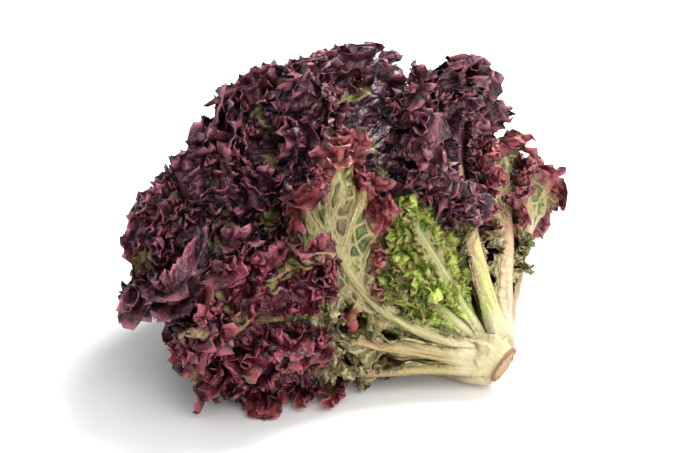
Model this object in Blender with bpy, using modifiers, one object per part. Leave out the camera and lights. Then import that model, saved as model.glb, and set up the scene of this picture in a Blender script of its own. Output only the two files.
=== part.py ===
"""Lollo rosso lettuce, freshly picked, lying on its side.

Metres, +Z up. The head's axis runs from the stump up and back to the left; every leaf lies on a
layer wound round that axis. A layer is the surface

    base(k) + s * (cos T * axis + sin T * outward(azimuth)),    T = k * opening(s, azimuth)

where s is the distance from the leaf's base and k the leaf's openness from 0 (closed) to 1 (the
outermost layer, which the floor flattens underneath). Two leaves of different openness therefore
never cross. The origin is the middle of the bounding box's bottom.
"""

from collections import namedtuple
from math import cos, pi, radians, sin

import bmesh
import bpy
import numpy as np
from mathutils import Matrix, Vector

MM = 0.001

# Head: its axis leans back to the left and up, with the stump low at the right front.
AXIS = (-0.776, 0.495, 0.391)
VIEW_TILT = radians(20.0)
STUMP_HEIGHT = 17.0 * MM
FLOOR_CLEARANCE = 0.9 * MM
FLOOR_SKIN = 0.7 * MM

# Stump: a cone cut off square below the lowest leaves.
CUT_RADIUS = 10.2 * MM
NECK_RADIUS = 9.4 * MM
CROWN_RADIUS = 3.4 * MM
CUT_DEPTH = 5.0 * MM
CROWN_RISE = 30.0 * MM
BASE_RISE = 36.0 * MM
BASE_GAP = 1.5 * MM
STUMP_SIDES = 28

# Layers: opening of the outermost one, wider on the side of the leaves that stand up at the right.
OPENING = 46.0
OPENING_AT_BASE = 40.0
WIDE_OPENING = 20.0
WIDE_AZIMUTH = 130.0
WIDE_SPREAD = 32.0
RECURVE = 12.0
RECURVE_FROM = 80.0 * MM
RECURVE_TO = 190.0 * MM
OPENED_BY = 60.0 * MM
FLOOR_BLEND = 2.2

# Resting patch of the lowest leaf; beyond it the leaf lifts off the floor.
PATCH_AZIMUTH = -144.0
PATCH_REACH = 96.0 * MM
PATCH_HALF_LENGTH = 34.0 * MM
PATCH_HALF_ANGLE = 32.0
EDGE_LIFT = 5.0 * MM
LIFT_LENGTH = 45.0 * MM
LIFT_ANGLE = 50.0

# Folds shared by all layers, so that they nest.
FOLD_COUNT = 13
FOLD_ANGLE = 3.2
SWELL_COUNT = 6
SWELL_ANGLE = 3.0
FOLD_FROM = 45.0 * MM
FOLD_TO = 150.0 * MM

# Leaf outline and thickness.
WIDEST_SHARE = 0.70
ROOT_SHARE = 0.80
ROOT_LAG = 0.3
TIP_POWER = 0.72
LOBE_COUNT = 4
LOBE_DEPTH = 0.09
BLADE_THICK = 0.8 * MM
RIB_THICK = 1.7 * MM
RIB_HALF = 2.8 * MM
RIB_FADE = 1.2 * MM
COLUMNS = 26
ROWS = (0.0, 0.32, 0.62, 0.84, 1.0)
SMALL_COLUMNS = 16
SMALL_ROWS = (0.0, 0.4, 0.75, 1.0)
WELD = 1e-6

Leaf = namedtuple(
    "Leaf", "name azimuth openness length half_width neck petiole bend ruffle seed tone"
)

# Azimuth in degrees from the viewer's side round the axis; lengths in millimetres; petiole is the
# share of the length that stays narrow; bend is the turn in azimuth from base to tip; ruffle is
# the leaf's own wave in degrees; tone names its colour.
LEAVES = (
    Leaf("leaf_01", -118.0, 1.000, 150.0, 62.0, 5.0, 0.20, 0.0, 0.3, 1, "rose"),
    Leaf("leaf_02", 132.0, 0.975, 126.0, 43.0, 4.2, 0.34, 0.0, 0.5, 2, "rose"),
    Leaf("leaf_03", -159.0, 0.950, 158.0, 58.0, 4.2, 0.26, 0.0, 0.5, 3, "purple"),
    Leaf("leaf_04", 112.0, 0.925, 118.0, 36.0, 4.2, 0.42, 0.0, 0.5, 4, "rose"),
    Leaf("leaf_05", -62.0, 0.900, 142.0, 46.0, 3.5, 0.42, 0.0, 0.5, 5, "crimson"),
    Leaf("leaf_06", 172.0, 0.875, 150.0, 56.0, 4.2, 0.26, 0.0, 0.5, 6, "purple"),
    Leaf("leaf_07", 80.0, 0.850, 144.0, 48.0, 4.2, 0.46, 0.0, 0.5, 7, "purple"),
    Leaf("leaf_08", -40.0, 0.827, 155.0, 54.0, 4.2, 0.45, 4.0, 0.5, 8, "crimson"),
    Leaf("leaf_09", 147.0, 0.803, 150.0, 54.0, 4.2, 0.26, 0.0, 0.5, 9, "purple"),
    Leaf("leaf_10", -98.0, 0.780, 168.0, 58.0, 4.2, 0.26, 0.0, 0.5, 10, "purple"),
    Leaf("leaf_11", 92.0, 0.755, 144.0, 46.0, 4.2, 0.30, 0.0, 0.5, 11, "purple"),
    Leaf("leaf_12", -27.0, 0.730, 128.0, 34.0, 4.2, 0.46, 54.0, 0.5, 12, "rose"),
    Leaf("leaf_13", -172.0, 0.705, 175.0, 60.0, 4.2, 0.26, 0.0, 0.5, 13, "purple"),
    Leaf("leaf_14", 50.0, 0.685, 82.0, 27.0, 2.6, 0.08, 0.0, 0.6, 14, "green"),
    Leaf("leaf_15", 126.0, 0.655, 160.0, 54.0, 4.2, 0.26, 0.0, 0.5, 15, "purple"),
    Leaf("leaf_16", -66.0, 0.630, 180.0, 60.0, 4.2, 0.30, 0.0, 0.5, 16, "purple"),
    Leaf("leaf_17", 20.0, 0.610, 84.0, 27.0, 2.6, 0.08, 0.0, 0.6, 17, "green"),
    Leaf("leaf_18", 160.0, 0.588, 172.0, 60.0, 4.2, 0.26, 0.0, 0.5, 18, "purple"),
    Leaf("leaf_19", -130.0, 0.557, 184.0, 62.0, 4.2, 0.26, 0.0, 0.5, 19, "purple"),
    Leaf("leaf_20", 61.0, 0.536, 166.0, 54.0, 3.2, 0.46, 0.0, 0.5, 20, "purple"),
    Leaf("leaf_21", 2.0, 0.520, 74.0, 24.0, 2.6, 0.08, 0.0, 0.6, 21, "green"),
    Leaf("leaf_22", 113.0, 0.482, 170.0, 56.0, 3.4, 0.30, 0.0, 0.5, 22, "purple"),
    Leaf("leaf_23", -38.0, 0.447, 178.0, 58.0, 3.2, 0.42, 8.0, 0.5, 23, "purple"),
    Leaf("leaf_24", 178.0, 0.424, 182.0, 60.0, 4.0, 0.30, 0.0, 0.5, 24, "purple"),
    Leaf("leaf_25", 24.0, 0.393, 172.0, 58.0, 3.6, 0.46, 0.0, 0.5, 25, "purple"),
    Leaf("leaf_26", -88.0, 0.350, 184.0, 54.0, 3.8, 0.30, 0.0, 0.5, 26, "purple"),
)
SMALL_LENGTH = 100.0

# Heart: small leaves fused on a short core above the stump.
HEART_RISE = 12.0 * MM
HEART_TOP_RADIUS = 2.0 * MM
HEART_GAP = 0.3 * MM
HEART_STEP = 1.5 * MM
HEART_BASE_RADIUS = 1.0 * MM
HEART_SIDES = 12
HEART_COLUMNS = 14
HEART_ROWS = (0.0, 0.5, 1.0)
HEART_LEAVES = (
    Leaf("heart_1", 78.0, 0.280, 122.0, 27.0, 3.0, 0.20, 0.0, 0.3, 31, "green"),
    Leaf("heart_2", 200.0, 0.225, 118.0, 25.0, 3.0, 0.20, 0.0, 0.3, 32, "green"),
    Leaf("heart_3", -40.0, 0.170, 108.0, 20.0, 3.0, 0.20, 0.0, 0.3, 33, "green"),
    Leaf("heart_4", 110.0, 0.110, 100.0, 14.0, 3.0, 0.20, 0.0, 0.3, 34, "green"),
    Leaf("heart_5", 250.0, 0.050, 90.0, 9.0, 3.0, 0.20, 0.0, 0.3, 35, "green"),
)

# Colour, roughness and metallic value of each tone.
TONES = {
    "cream": ((0.76, 0.70, 0.46, 1.0), 0.55, 0.0),
    "green": ((0.34, 0.43, 0.10, 1.0), 0.50, 0.0),
    "rose": ((0.33, 0.13, 0.11, 1.0), 0.50, 0.0),
    "crimson": ((0.24, 0.03, 0.05, 1.0), 0.50, 0.0),
    "purple": ((0.09, 0.02, 0.04, 1.0), 0.50, 0.0),
}


def unit(vector):
    """The vector scaled to length one."""
    vector = np.asarray(vector, dtype=float)
    return vector / np.linalg.norm(vector)


def head_frame():
    """Axis, the direction across it toward the viewer, and the one to the upper right."""
    axis = unit(AXIS)
    toward_viewer = np.array([0.0, -cos(VIEW_TILT), sin(VIEW_TILT)])
    near = unit(toward_viewer - np.dot(toward_viewer, axis) * axis)
    side = np.cross(axis, near)
    if side[2] < 0.0:
        side = -side
    return axis, near, side


HEAD_AXIS, NEAR, SIDE = head_frame()


def ease(value, low, high):
    """Smooth step from 0 at low to 1 at high."""
    share = np.clip((value - low) / (high - low), 0.0, 1.0)
    return share * share * (3.0 - 2.0 * share)


def outward(azimuth):
    """Unit vectors across the axis at these azimuths."""
    return np.cos(azimuth)[..., None] * NEAR + np.sin(azimuth)[..., None] * SIDE


def floor_opening(reach, azimuth):
    """Opening in degrees at which a point of the outermost layer meets the floor."""
    rise_along = HEAD_AXIS[2]
    rise_across = outward(azimuth)[..., 2]
    aside = np.abs((azimuth - radians(PATCH_AZIMUTH) + pi) % (2.0 * pi) - pi)
    lift = ease(np.abs(reach - PATCH_REACH), PATCH_HALF_LENGTH, PATCH_HALF_LENGTH + LIFT_LENGTH)
    lift = lift + ease(np.degrees(aside), PATCH_HALF_ANGLE, PATCH_HALF_ANGLE + LIFT_ANGLE)
    clearance = FLOOR_CLEARANCE + EDGE_LIFT * lift
    base_height = STUMP_HEIGHT - clearance + (NECK_RADIUS + BASE_GAP) * rise_across
    steepness = np.hypot(rise_along, rise_across)
    share = base_height / (np.maximum(reach, 1e-4) * steepness)
    turn = np.arccos(np.clip(-share, -1.0, 1.0)) + np.arctan2(rise_across, rise_along)
    turn = np.where(share >= 1.0, pi, turn)
    return np.degrees(turn)


def folds(reach, azimuth):
    """Degrees added to the opening by the folds that all layers share."""
    grow = ease(reach, FOLD_FROM, FOLD_TO)
    drift = 0.9 * np.sin(3.0 * azimuth + 0.6) + reach / (38.0 * MM)
    fold = np.sin(FOLD_COUNT * azimuth + drift)
    swell = np.sin(SWELL_COUNT * azimuth + 1.0 - reach / (60.0 * MM))
    return grow * (FOLD_ANGLE * fold + SWELL_ANGLE * swell)


def opening(reach, azimuth):
    """Opening in degrees of the outermost layer: free where it can be, flattened by the floor."""
    away = np.abs((azimuth - radians(WIDE_AZIMUTH) + pi) % (2.0 * pi) - pi)
    free = OPENING_AT_BASE + (OPENING - OPENING_AT_BASE) * ease(reach, 0.0, OPENED_BY)
    free = free + WIDE_OPENING * np.exp(-((away / radians(WIDE_SPREAD)) ** 2))
    free = free + RECURVE * ease(reach, RECURVE_FROM, RECURVE_TO) + folds(reach, azimuth)
    limit = floor_opening(reach, azimuth)
    lower = np.minimum(free, limit)
    gap = np.abs(free - limit)
    return lower - FLOOR_BLEND * np.log1p(np.exp(-gap / FLOOR_BLEND))


def stump_radius(rise):
    """Radius of the stump at this distance up the axis."""
    share = np.clip(rise / CROWN_RISE, 0.0, 1.0)
    return NECK_RADIUS + (CROWN_RADIUS - NECK_RADIUS) * share


def flat_outline(leaf):
    """Margin of the flat leaf from base to tip: distances along, half widths, arc lengths."""
    length = leaf.length * MM
    half = leaf.half_width * MM
    neck = leaf.neck * MM
    widest = WIDEST_SHARE * length
    along_side = np.linspace(0.0, widest, 160)
    side_width = neck + (half - neck) * ease(along_side, leaf.petiole * length, widest)
    turn = np.linspace(0.0, pi / 2.0, 120)[1:]
    along = np.concatenate([along_side, widest + (length - widest) * np.sin(turn) ** TIP_POWER])
    width = np.concatenate([side_width, half * np.cos(turn) ** TIP_POWER])
    steps = np.hypot(np.diff(along), np.diff(width))
    return along, width, np.concatenate([[0.0], np.cumsum(steps)])


def flat_leaf(leaf, around, inward):
    """Flat position of a leaf point. around runs -1 to 1 along the margin, base to tip to base;
    inward is 0 on the midrib and 1 on the margin. Each row of points leaves the midrib a little
    below its end on the margin, as a side vein does. Returns distances along and across."""
    along, width, arc = flat_outline(leaf)
    share = 1.0 - np.abs(around)
    margin_along = np.interp(share * arc[-1], arc, along)
    margin_across = np.interp(share * arc[-1], arc, width)
    root = margin_along - ROOT_LAG * (margin_across - leaf.neck * MM)
    root = root * (1.0 - (1.0 - ROOT_SHARE) * ease(share, 0.35, 1.0))
    lobe = np.sin(2.0 * pi * LOBE_COUNT * share + 1.3 * leaf.seed + 2.0 * np.sign(around))
    margin_across = margin_across * (1.0 + LOBE_DEPTH * ease(share, 0.35, 0.6) * lobe)
    s = root + (margin_along - root) * inward
    return s, np.sign(around) * margin_across * inward


def layer_point(leaf, s, across, rise, radius):
    """Position on the leaf's layer of the flat point (s, across)."""
    share = s / (leaf.length * MM)
    middle = radians(leaf.azimuth) + radians(leaf.bend) * share**2
    own = leaf.ruffle * ease(share, 0.3, 1.0) * np.sin(across / (7.5 * MM) + 1.7 * leaf.seed)
    turn = leaf.openness * opening(s, middle)
    reach = np.maximum(radius + s * np.sin(np.radians(turn)), 4.0 * MM)
    azimuth = middle + across / reach
    turn = np.radians(leaf.openness * opening(s, azimuth) + own)
    out = radius + s * np.sin(turn)
    up = rise + s * np.cos(turn)
    return up[..., None] * HEAD_AXIS + out[..., None] * outward(azimuth)


def sheet(leaf, columns, rows, rise, radius):
    """Open triangulated leaf surface with the rib's thickness as a vertex group."""
    bm = bmesh.new()
    bmesh.ops.create_grid(bm, x_segments=columns, y_segments=len(rows) - 1, size=0.5)
    flat = np.array([vertex.co[:] for vertex in bm.verts])
    around = 2.0 * flat[:, 0]
    around[np.abs(around) < 1e-6] = 0.0
    inward = np.interp(flat[:, 1] + 0.5, np.linspace(0.0, 1.0, len(rows)), rows)
    s, across = flat_leaf(leaf, around, inward)
    points = layer_point(leaf, s, across, rise, radius)
    length = leaf.length * MM
    rib = ease(RIB_HALF - np.abs(across), -RIB_FADE, RIB_FADE)
    rib = rib * (1.0 - ease(s, 0.05 * length, 0.62 * length))
    weight = bm.verts.layers.float.new("rib")
    for vertex, place, share in zip(bm.verts, points, rib):
        vertex.co = place
        vertex[weight] = share
    bmesh.ops.remove_doubles(bm, verts=bm.verts, dist=WELD)
    bmesh.ops.triangulate(bm, faces=bm.faces, quad_method="SHORT_EDGE")
    piece = add_object(leaf.name, bm)
    group = piece.vertex_groups.new(name="rib")
    for index, item in enumerate(piece.data.attributes["rib"].data):
        group.add([index], float(item.value), "REPLACE")
    return piece


def add_object(name, bm):
    """Object of this name from the edit mesh, which is freed."""
    mesh = bpy.data.meshes.new(name)
    bm.to_mesh(mesh)
    bm.free()
    piece = bpy.data.objects.new(name, mesh)
    bpy.context.scene.collection.objects.link(piece)
    return piece


def thicken(piece):
    """Leaf blade from its open surface, thicker along the rib."""
    solid = piece.modifiers.new("blade", "SOLIDIFY")
    solid.thickness = RIB_THICK
    solid.offset = 0.0
    solid.vertex_group = "rib"
    solid.thickness_vertex_group = BLADE_THICK / RIB_THICK
    apply_modifiers(piece)


def apply_modifiers(piece):
    """Replaces the object's mesh by its evaluated mesh."""
    graph = bpy.context.evaluated_depsgraph_get()
    mesh = bpy.data.meshes.new_from_object(piece.evaluated_get(graph))
    old = piece.data
    piece.modifiers.clear()
    piece.data = mesh
    bpy.data.meshes.remove(old)


def leaf_piece(leaf):
    """One leaf, rising from the stump at the height that its openness gives."""
    small = leaf.length < SMALL_LENGTH
    columns = SMALL_COLUMNS if small else COLUMNS
    rows = SMALL_ROWS if small else ROWS
    rise = BASE_RISE * (1.0 - leaf.openness)
    piece = sheet(leaf, columns, rows, rise, float(stump_radius(rise)) + BASE_GAP)
    thicken(piece)
    press_flat(piece)
    return piece


def press_flat(piece):
    """Flattens the skin that rests on the floor."""
    flat = np.empty(len(piece.data.vertices) * 3)
    piece.data.vertices.foreach_get("co", flat)
    points = flat.reshape(-1, 3)
    low = points[:, 2] < FLOOR_SKIN - STUMP_HEIGHT
    points[low, 2] = -STUMP_HEIGHT
    piece.data.vertices.foreach_set("co", points.ravel())
    piece.data.update()


def cone(name, bottom, top, start, end, sides):
    """Cone along the head's axis from start to end."""
    bm = bmesh.new()
    bmesh.ops.create_cone(
        bm,
        cap_ends=True,
        segments=sides,
        radius1=bottom,
        radius2=top,
        depth=end - start,
    )
    piece = add_object(name, bm)
    turn = Matrix([NEAR, np.cross(HEAD_AXIS, NEAR), HEAD_AXIS]).transposed().to_4x4()
    middle = Vector(HEAD_AXIS) * 0.5 * (start + end)
    piece.matrix_world = Matrix.Translation(middle) @ turn
    return piece


def stump_piece():
    """Cut stem that runs up inside the head."""
    return cone("stump", CUT_RADIUS, CROWN_RADIUS, -CUT_DEPTH, CROWN_RISE, STUMP_SIDES)


def heart_piece():
    """Innermost leaves fused on their core. EXACT leaves these thin shells apart."""
    start = CROWN_RISE + HEART_GAP
    core = cone("heart", CROWN_RADIUS, HEART_TOP_RADIUS, start, start + HEART_RISE, HEART_SIDES)
    group = bpy.data.collections.new("heart_leaves")
    bpy.context.scene.collection.children.link(group)
    for number, leaf in enumerate(HEART_LEAVES):
        rise = start + (number + 1) * HEART_STEP
        small = sheet(leaf, HEART_COLUMNS, HEART_ROWS, rise, HEART_BASE_RADIUS)
        thicken(small)
        bpy.context.scene.collection.objects.unlink(small)
        group.objects.link(small)
    union = core.modifiers.new("fuse", "BOOLEAN")
    union.operation = "UNION"
    union.operand_type = "COLLECTION"
    union.collection = group
    union.solver = "MANIFOLD"
    apply_modifiers(core)
    for small in list(group.objects):
        bpy.data.objects.remove(small, do_unlink=True)
    bpy.data.collections.remove(group)
    return core


def set_down(pieces, group):
    """Parents every piece to an empty at the stump, placed so that the floor is z = 0 and the
    box's middle is above the origin."""
    bpy.context.view_layer.update()
    corners = []
    for piece in pieces:
        for vertex in piece.data.vertices:
            corners.append(piece.matrix_world @ vertex.co)
    corners = np.array([corner[:] for corner in corners])
    middle = 0.5 * (corners.min(axis=0) + corners.max(axis=0))
    head = bpy.data.objects.new("head", None)
    group.objects.link(head)
    head.location = (-middle[0], -middle[1], STUMP_HEIGHT)
    for piece in pieces:
        piece.parent = head


def clear():
    """Empties the file."""
    for item in list(bpy.data.objects):
        bpy.data.objects.remove(item, do_unlink=True)


def skin(piece, tone):
    """Gives the piece a plain material of its own."""
    colour, roughness, metallic = TONES[tone]
    material = bpy.data.materials.new(piece.name)
    material.use_nodes = True
    shader = material.node_tree.nodes["Principled BSDF"]
    shader.inputs["Base Color"].default_value = colour
    shader.inputs["Roughness"].default_value = roughness
    shader.inputs["Metallic"].default_value = metallic
    piece.data.materials.clear()
    piece.data.materials.append(material)
    piece.data.shade_smooth()
    piece.data.set_sharp_from_angle(angle=radians(40.0))


def build():
    """The whole lettuce, in a collection of its own."""
    clear()
    tones = {"stump": "cream", "heart": "green"}
    pieces = [stump_piece()]
    for leaf in LEAVES:
        pieces.append(leaf_piece(leaf))
        tones[leaf.name] = leaf.tone
    pieces.append(heart_piece())
    group = bpy.data.collections.new("lollo_rosso_lettuce")
    bpy.context.scene.collection.children.link(group)
    for piece in pieces:
        skin(piece, tones[piece.name])
        bpy.context.scene.collection.objects.unlink(piece)
        group.objects.link(piece)
    set_down(pieces, group)


build()
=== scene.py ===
"""Lollo rosso lettuce: frilled leaves with pale ribs, young green heart, cut stem and the stage.

Every leaf lies on a layer wound round the head's axis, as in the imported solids: the point at
distance s from the leaf's base and at one azimuth is

    base + s * (cos T * axis + sin T * outward(azimuth)),    T = openness * opening(s, azimuth)

The leaf's blade then waves across that layer in three sizes, broad folds, frills and crinkles,
each along the normals of the surface before it, and each growing toward the margin. Rows of
ruffled lobes, the flounces, stand on the folded blade.
"""

from collections import namedtuple
from math import pi, radians
from types import SimpleNamespace

import bpy
import numpy as np
from mathutils import Matrix, Vector


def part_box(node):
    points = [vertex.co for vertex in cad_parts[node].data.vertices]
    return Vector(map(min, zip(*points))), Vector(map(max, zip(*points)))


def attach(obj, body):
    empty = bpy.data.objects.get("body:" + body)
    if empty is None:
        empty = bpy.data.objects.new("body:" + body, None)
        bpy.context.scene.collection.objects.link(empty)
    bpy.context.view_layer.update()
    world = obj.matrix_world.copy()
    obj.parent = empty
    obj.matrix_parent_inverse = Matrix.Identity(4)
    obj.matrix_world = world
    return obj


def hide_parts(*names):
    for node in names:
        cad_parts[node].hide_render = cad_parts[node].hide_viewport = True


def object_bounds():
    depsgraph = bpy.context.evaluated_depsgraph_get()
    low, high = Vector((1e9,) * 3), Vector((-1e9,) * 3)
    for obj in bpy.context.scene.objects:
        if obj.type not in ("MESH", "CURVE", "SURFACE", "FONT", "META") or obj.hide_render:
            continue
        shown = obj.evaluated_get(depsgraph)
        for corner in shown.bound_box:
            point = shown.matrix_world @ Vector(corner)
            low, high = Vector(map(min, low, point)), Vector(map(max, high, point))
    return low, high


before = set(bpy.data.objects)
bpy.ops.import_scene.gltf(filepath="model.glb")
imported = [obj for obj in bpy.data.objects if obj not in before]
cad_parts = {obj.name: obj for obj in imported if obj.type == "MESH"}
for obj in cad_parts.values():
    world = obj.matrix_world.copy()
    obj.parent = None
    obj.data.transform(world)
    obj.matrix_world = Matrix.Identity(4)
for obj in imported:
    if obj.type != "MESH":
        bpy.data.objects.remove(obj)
cad_low, cad_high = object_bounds()

bl_info = {
    "name": "Lollo Rosso Lettuce",
    "version": (1, 0, 0),
    "blender": (4, 5, 0),
    "location": "View3D > Sidebar > Lettuce",
    "description": "Frilled leaves, heart, cut stem and studio stage of a lollo rosso lettuce",
    "category": "Add Mesh",
}

MM = 0.001

# The head's layers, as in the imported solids.
AXIS = (-0.776, 0.495, 0.391)
VIEW_TILT = radians(20.0)
STUMP_HEIGHT = 17.0 * MM
FLOOR_CLEARANCE = 0.9 * MM
CUT_RADIUS = 10.2 * MM
NECK_RADIUS = 9.4 * MM
CROWN_RADIUS = 3.4 * MM
CUT_DEPTH = 5.0 * MM
CROWN_RISE = 30.0 * MM
BASE_RISE = 36.0 * MM
BASE_GAP = 1.5 * MM
OPENING = 46.0
OPENING_AT_BASE = 40.0
WIDE_OPENING = 20.0
WIDE_AZIMUTH = 130.0
WIDE_SPREAD = 32.0
RECURVE = 12.0
RECURVE_FROM = 80.0 * MM
RECURVE_TO = 190.0 * MM
OPENED_BY = 60.0 * MM
FLOOR_BLEND = 2.2
PATCH_AZIMUTH = -144.0
PATCH_REACH = 96.0 * MM
PATCH_HALF_LENGTH = 34.0 * MM
PATCH_HALF_ANGLE = 32.0
EDGE_LIFT = 5.0 * MM
LIFT_LENGTH = 45.0 * MM
LIFT_ANGLE = 50.0
FOLD_COUNT = 13
FOLD_ANGLE = 3.2
SWELL_COUNT = 6
SWELL_ANGLE = 3.0
FOLD_FROM = 45.0 * MM
FOLD_TO = 150.0 * MM
WIDEST_SHARE = 0.70
ROOT_SHARE = 0.80
ROOT_LAG = 0.3
TIP_POWER = 0.72
LOBE_COUNT = 4
LOBE_DEPTH = 0.09

Leaf = namedtuple(
    "Leaf", "name seed azimuth openness length half_width neck petiole bend ruffle tone"
)

# One row a leaf, from the outermost in: azimuth in degrees from the viewer's side round the axis;
# openness; length, half width and neck in millimetres; petiole, the share of the length that
# stays narrow; bend, the turn in azimuth from base to tip; ruffle in degrees; tone.
LEAF_ROWS = (
    (-118.0, 1.000, 150.0, 62.0, 5.0, 0.20, 0.0, 0.3, "rose"),
    (132.0, 0.975, 126.0, 43.0, 4.2, 0.34, 0.0, 0.5, "rose"),
    (-159.0, 0.950, 158.0, 58.0, 4.2, 0.26, 0.0, 0.5, "purple"),
    (112.0, 0.925, 118.0, 36.0, 4.2, 0.42, 0.0, 0.5, "rose"),
    (-62.0, 0.900, 142.0, 46.0, 3.5, 0.42, 0.0, 0.5, "crimson"),
    (172.0, 0.875, 150.0, 56.0, 4.2, 0.26, 0.0, 0.5, "purple"),
    (80.0, 0.850, 144.0, 48.0, 4.2, 0.46, 0.0, 0.5, "purple"),
    (-40.0, 0.827, 155.0, 54.0, 4.2, 0.45, 4.0, 0.5, "crimson"),
    (147.0, 0.803, 150.0, 54.0, 4.2, 0.26, 0.0, 0.5, "purple"),
    (-98.0, 0.780, 168.0, 58.0, 4.2, 0.26, 0.0, 0.5, "purple"),
    (92.0, 0.755, 144.0, 46.0, 4.2, 0.30, 0.0, 0.5, "purple"),
    (-27.0, 0.730, 128.0, 34.0, 4.2, 0.46, 54.0, 0.5, "rose"),
    (-172.0, 0.705, 175.0, 60.0, 4.2, 0.26, 0.0, 0.5, "purple"),
    (50.0, 0.685, 82.0, 27.0, 2.6, 0.08, 0.0, 0.6, "green"),
    (126.0, 0.655, 160.0, 54.0, 4.2, 0.26, 0.0, 0.5, "purple"),
    (-66.0, 0.630, 180.0, 60.0, 4.2, 0.30, 0.0, 0.5, "purple"),
    (20.0, 0.610, 84.0, 27.0, 2.6, 0.08, 0.0, 0.6, "green"),
    (160.0, 0.588, 172.0, 60.0, 4.2, 0.26, 0.0, 0.5, "purple"),
    (-130.0, 0.557, 184.0, 62.0, 4.2, 0.26, 0.0, 0.5, "purple"),
    (61.0, 0.536, 166.0, 54.0, 3.2, 0.46, 0.0, 0.5, "purple"),
    (2.0, 0.520, 74.0, 24.0, 2.6, 0.08, 0.0, 0.6, "green"),
    (113.0, 0.482, 170.0, 56.0, 3.4, 0.30, 0.0, 0.5, "purple"),
    (-38.0, 0.447, 178.0, 58.0, 3.2, 0.42, 8.0, 0.5, "purple"),
    (178.0, 0.424, 182.0, 60.0, 4.0, 0.30, 0.0, 0.5, "purple"),
    (24.0, 0.393, 172.0, 58.0, 3.6, 0.46, 0.0, 0.5, "purple"),
    (-88.0, 0.350, 184.0, 54.0, 3.8, 0.30, 0.0, 0.5, "purple"),
)
HEART_ROWS = (
    (78.0, 0.280, 122.0, 27.0, 3.0, 0.20, 0.0, 0.3, "green"),
    (200.0, 0.225, 118.0, 25.0, 3.0, 0.20, 0.0, 0.3, "green"),
    (-40.0, 0.170, 108.0, 20.0, 3.0, 0.20, 0.0, 0.3, "green"),
    (110.0, 0.110, 100.0, 14.0, 3.0, 0.20, 0.0, 0.3, "green"),
    (250.0, 0.050, 90.0, 9.0, 3.0, 0.20, 0.0, 0.3, "green"),
)
HEART_SEED = 30
LEAVES = tuple(Leaf("leaf_%02d" % n, n, *row) for n, row in enumerate(LEAF_ROWS, 1))
HEART_LEAVES = tuple(
    Leaf("heart_%d" % n, HEART_SEED + n, *row) for n, row in enumerate(HEART_ROWS, 1)
)
HEART_GAP = 0.3 * MM
HEART_STEP = 1.5 * MM
HEART_BASE_RADIUS = 1.0 * MM

# By how much a leaf's base is wider where it clasps the stem, and how far up that goes.
CLASP = 0.75
CLASP_LENGTH = 26.0 * MM

# Neck and length in millimetres of a large leaf. Ribs are scaled by the neck, and frills by the
# length, down to the least scale.
LARGE_NECK = 4.2
LARGE_LENGTH = 150.0
LEAST_SCALE = 0.65

# Widest rib as a share of the blade's half width, and its share at the leaf's tip.
WIDEST_RIB = 0.85
TIP_RIB = 0.08

# The two bare stalks at the right are stouter than the others, and one has a broader wing. The
# leaf over the heart and the young green leaves have slimmer ribs.
STOUT = {"leaf_04": 1.25, "leaf_07": 1.5, "leaf_12": 0.75}
YOUNG_RIB = 0.6
BROAD_WING = {"leaf_04": 12.0 * MM}

# Narrow wing of blade along a leaf's stalk, wide on the side toward the floor and slim on the
# other, and the distances up the stalk where it has grown wide and where the blade takes over.
WING_WIDTH = {"rose": 6.0 * MM, "crimson": 8.0 * MM, "purple": 5.0 * MM, "green": 0.0}
WING_FROM = 10.0 * MM
WING_FULL = 38.0 * MM
WING_FADE = 30.0 * MM
SLIM_SIDE = 0.2

# Share of the blade's half width at which the folds, the frills and the crinkles begin.
FOLDS_BEGIN = {"rose": 0.42, "crimson": 0.15, "purple": 0.08, "green": 0.05}
FRILLS_BEGIN = {"rose": 0.60, "crimson": 0.35, "purple": 0.25, "green": 0.10}
CRINKLES_BEGIN = {"rose": 0.75, "crimson": 0.60, "purple": 0.50, "green": 0.40}

# Shares of the margin's length, 0 at the base and 1 at the tip, between which each grows.
FOLDS_GROW = (0.12, 0.35)
FRILLS_GROW = (0.16, 0.36)
CRINKLES_GROW = (0.16, 0.34)
TEETH_GROW = (0.16, 0.30)
BLISTERS_GROW = (0.14, 0.30)

# Share of the room to the next leaf that a fold may take, the room in which frills have their
# full depth, the room where there is no neighbour, and how softly a neighbour's margin ends it.
FOLD_ROOM = 0.48
FRILL_ROOM = 14.0 * MM
FREE_ROOM = 30.0 * MM
MARGIN_BLUR = (-3.0 * MM, 5.0 * MM)

# Least distance of a midrib from the axis where azimuths are reckoned, least heights of a blade's
# points and of its skins over the floor, and how softly points close in on the head's box.
LEAST_REACH = 4.0 * MM
LEAST_HEIGHT = 0.6 * MM
OUTER_HEIGHT = 0.15 * MM
INNER_HEIGHT = 0.3 * MM
WALL_BLUR = 4.0 * MM

# Bumps between the veins, from one to the next, and the step in the value that tells one leaf
# from another in the finish.
BLISTER_LENGTH = 9.0 * MM
LEAF_STEP = 0.37

# Rows of points from the rib's edge to the margin, and how many fine columns each row skips.
RIB_ROWS = (0.0, 0.3, 0.6, 0.85, 1.0)
RIB_STRIDE = 8
BLADE_ROWS = (0.12, 0.26, 0.40, 0.52, 0.62, 0.71, 0.79, 0.86, 0.92, 0.965, 1.0)
BLADE_STRIDES = (8, 8, 4, 4, 2, 2, 2, 1, 1, 1, 1)
FINE_COLUMNS = 304
SMALL_COLUMNS = 160
SMALL_LENGTH = 110.0
HEART_COLUMNS = 96

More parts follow.
